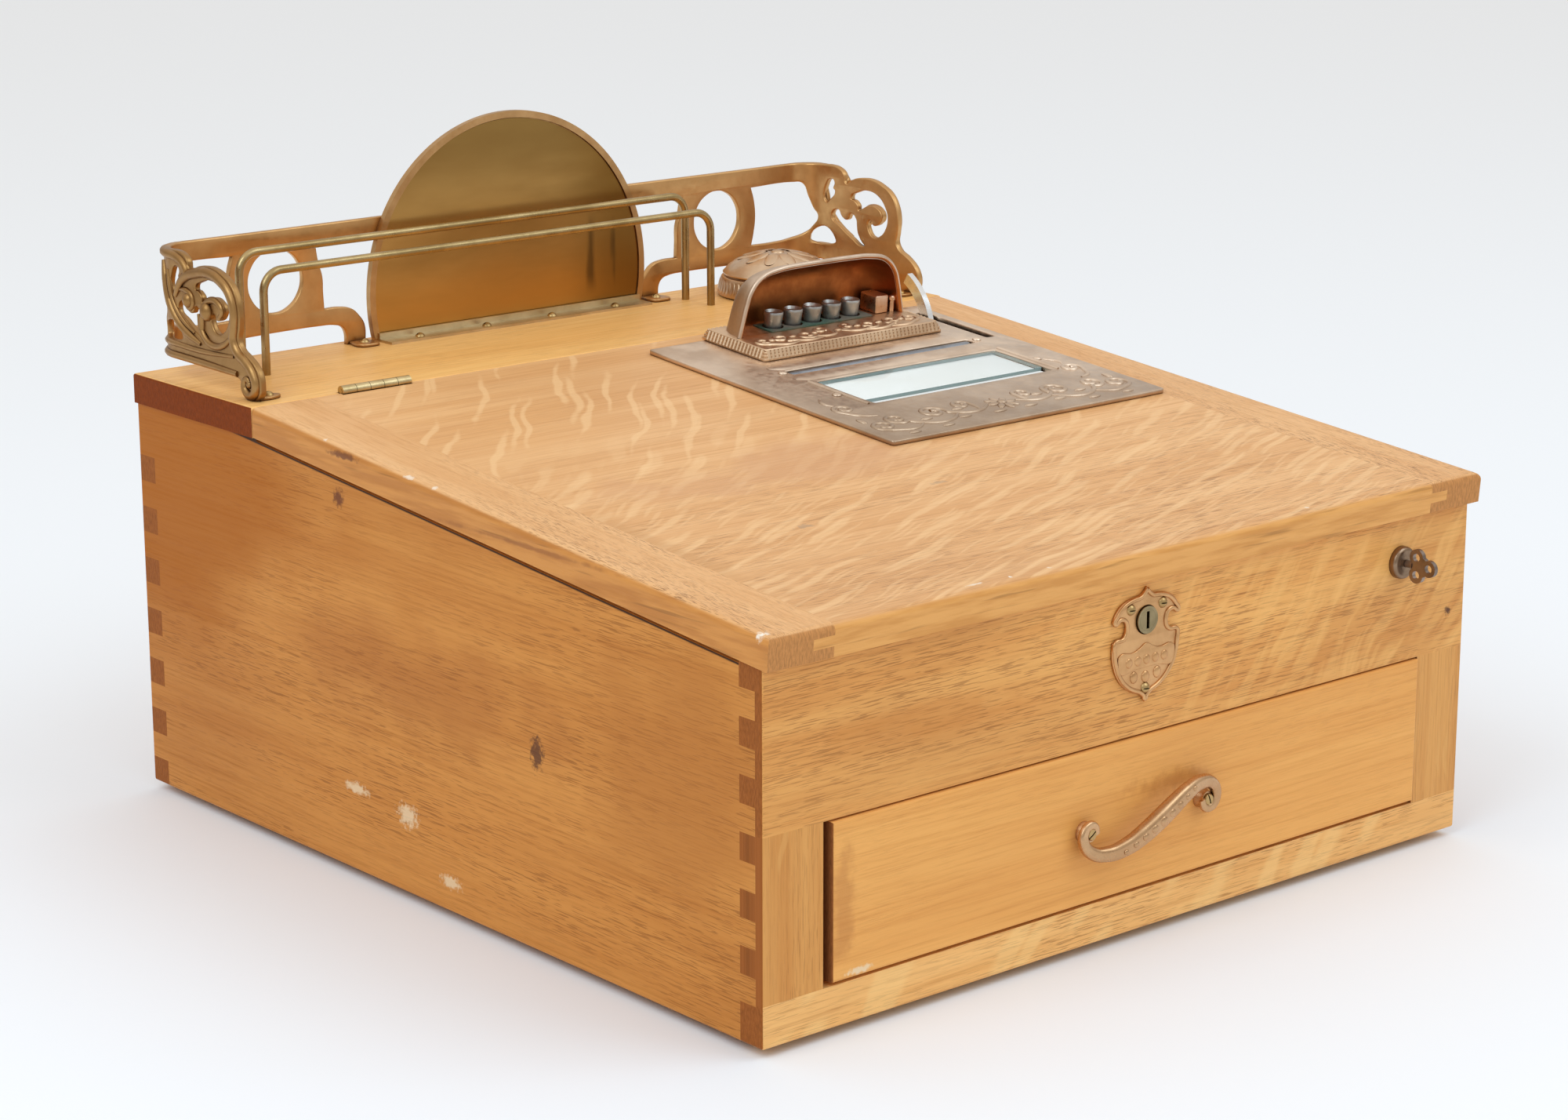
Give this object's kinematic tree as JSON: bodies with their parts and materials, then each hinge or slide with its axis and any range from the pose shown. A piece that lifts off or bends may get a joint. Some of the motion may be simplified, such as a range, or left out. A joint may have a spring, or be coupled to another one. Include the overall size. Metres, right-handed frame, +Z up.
{
  "type": "counter-top writing till",
  "caption": "Oak counter-top till with a sloping hinged writing lid, lockable cash drawer, finger keys, paper feed lever, wire letter rack, bell and pierced brass gallery.",
  "frame": {"origin": "on the counter, under the middle of the footprint between the key's bow and the back board", "axes": "+X to the right seen from the front, +Y towards the back, +Z up; the drawer opens towards -Y"},
  "size_m": [0.511, 0.5763, 0.3755],
  "materials": {
    "oak_case": "aged varnish",
    "oak_front": "aged varnish",
    "oak_lid": "aged varnish",
    "oak_drawer": "aged varnish",
    "inner_wood": "bare",
    "foot_pad": "matt",
    "gallery_brass": "aged polish",
    "sign_copper": "aged",
    "sign_brass": "aged sheet",
    "screw_brass": "aged",
    "wire_metal": "worn plating",
    "bell_metal": "aged polish",
    "iron": "dull",
    "hinge_brass": "dull",
    "bronze": "aged bronze",
    "plate_bronze": "aged bronze",
    "hood_copper": "aged copper",
    "lock_brass": "worn",
    "glass": "clear",
    "paper": "matt",
    "steel": "dull",
    "nickel": "worn nickel",
    "key_metal": "worn nickel"
  },
  "bodies": {
    "case": {"left_side": "oak_case", "right_side": "oak_case", "back_board": "oak_case", "front_upper_rail": "oak_front", "front_left_stile": "oak_front", "front_right_stile": "oak_front", "front_lower_rail": "oak_front", "bottom_board": "inner_wood", "deck_board": "inner_wood", "inner_battens": "inner_wood", "feet": "foot_pad", "top_board": "oak_case", "gallery_left": "gallery_brass", "gallery_right": "gallery_brass", "brass_screws": "screw_brass", "sign_backing": "sign_copper", "sign_face": "sign_brass", "sign_foot_strip": "sign_brass", "wire_rail_front": "wire_metal", "wire_rail_back": "wire_metal", "bell_base": "iron", "bell_dome": "bell_metal", "hinge_case_leaves": "hinge_brass", "hinge_pins": "hinge_brass", "escutcheon": "bronze", "lid_lock_barrel": "lock_brass", "drawer_lock_barrel": "lock_brass"},
    "lid": {"lid_panel": "oak_lid", "lid_left_cleat": "oak_lid", "lid_right_cleat": "oak_lid", "hinge_lid_leaves": "hinge_brass", "register_plate": "plate_bronze", "window_glass": "glass", "key_plinth": "plate_bronze", "key_hood": "hood_copper", "writing_platen": "steel", "paper_strip": "paper", "mechanism_frame": "iron", "lid_lock_keeper": "steel"},
    "drawer": {"drawer_front": "oak_drawer", "drawer_sides": "inner_wood", "drawer_back": "inner_wood", "drawer_bottom": "inner_wood", "till_dividers": "inner_wood", "drawer_pull": "bronze", "pull_screws": "screw_brass", "drawer_lock_keeper": "steel"},
    "finger_key_1": {"key_1": "key_metal"},
    "finger_key_2": {"key_2": "key_metal"},
    "finger_key_3": {"key_3": "key_metal"},
    "finger_key_4": {"key_4": "key_metal"},
    "finger_key_5": {"key_5": "key_metal"},
    "lever": {"feed_lever": "nickel"},
    "takeup": {"takeup_roll": "paper"},
    "supply": {"supply_roll": "paper"},
    "lid_lock": {"lid_lock_plug": "lock_brass"},
    "drawer_lock": {"drawer_lock_plug": "lock_brass", "drawer_key": "nickel"},
    "hammer": {"bell_hammer": "iron"}
  },
  "joints": [
    {"name": "lid_hinge", "type": "hinge", "parent": "case", "child": "lid", "pos_m": [0, 0.1647, 0.24856], "axis": [-1, 0, 0], "range_deg": [0, 95]},
    {"name": "drawer_slide", "type": "slide", "parent": "case", "child": "drawer", "axis": [0, -1, 0], "range_m": [0, 0.32]},
    {"name": "key_1_press", "type": "slide", "parent": "lid", "child": "finger_key_1", "axis": [0, 0.0861, -0.9963], "range_m": [0, 0.004], "stiffness_N_per_m": 250, "springref_m": -0.003},
    {"name": "key_2_press", "type": "slide", "parent": "lid", "child": "finger_key_2", "axis": [0, 0.0861, -0.9963], "range_m": [0, 0.004], "stiffness_N_per_m": 250, "springref_m": -0.003},
    {"name": "key_3_press", "type": "slide", "parent": "lid", "child": "finger_key_3", "axis": [0, 0.0861, -0.9963], "range_m": [0, 0.004], "stiffness_N_per_m": 250, "springref_m": -0.003},
    {"name": "key_4_press", "type": "slide", "parent": "lid", "child": "finger_key_4", "axis": [0, 0.0861, -0.9963], "range_m": [0, 0.004], "stiffness_N_per_m": 250, "springref_m": -0.003},
    {"name": "key_5_press", "type": "slide", "parent": "lid", "child": "finger_key_5", "axis": [0, 0.0861, -0.9963], "range_m": [0, 0.004], "stiffness_N_per_m": 250, "springref_m": -0.003},
    {"name": "lever_swing", "type": "hinge", "parent": "lid", "child": "lever", "pos_m": [0.206, 0.1024, 0.18392], "axis": [1, 0, 0], "range_deg": [0, 46], "stiffness_Nm_per_rad": 0.06, "springref_deg": -17.19},
    {"name": "takeup_spin", "type": "hinge", "parent": "lid", "child": "takeup", "pos_m": [0.1165, 0.1024, 0.18392], "axis": [1, 0, 0], "continuous": true},
    {"name": "supply_spin", "type": "hinge", "parent": "lid", "child": "supply", "pos_m": [0.1165, 0.02781, 0.18751], "axis": [1, 0, 0], "continuous": true},
    {"name": "lid_lock_turn", "type": "hinge", "parent": "case", "child": "lid_lock", "pos_m": [0, -0.26285, 0.172], "axis": [0, 1, 0], "range_deg": [0, 90]},
    {"name": "drawer_lock_turn", "type": "hinge", "parent": "case", "child": "drawer_lock", "pos_m": [0.198, -0.26285, 0.168], "axis": [0, -1, 0], "range_deg": [0, 90]},
    {"name": "hammer_swing", "type": "hinge", "parent": "case", "child": "hammer", "pos_m": [0.194, 0.23715, 0.25225], "axis": [0, 0, 1], "range_deg": [0, 8], "stiffness_Nm_per_rad": 0.004, "springref_deg": -2.86}
  ],
  "couplings": [
    {"joint": "supply_spin", "follows": "takeup_spin", "ratio": -0.69565}
  ]
}
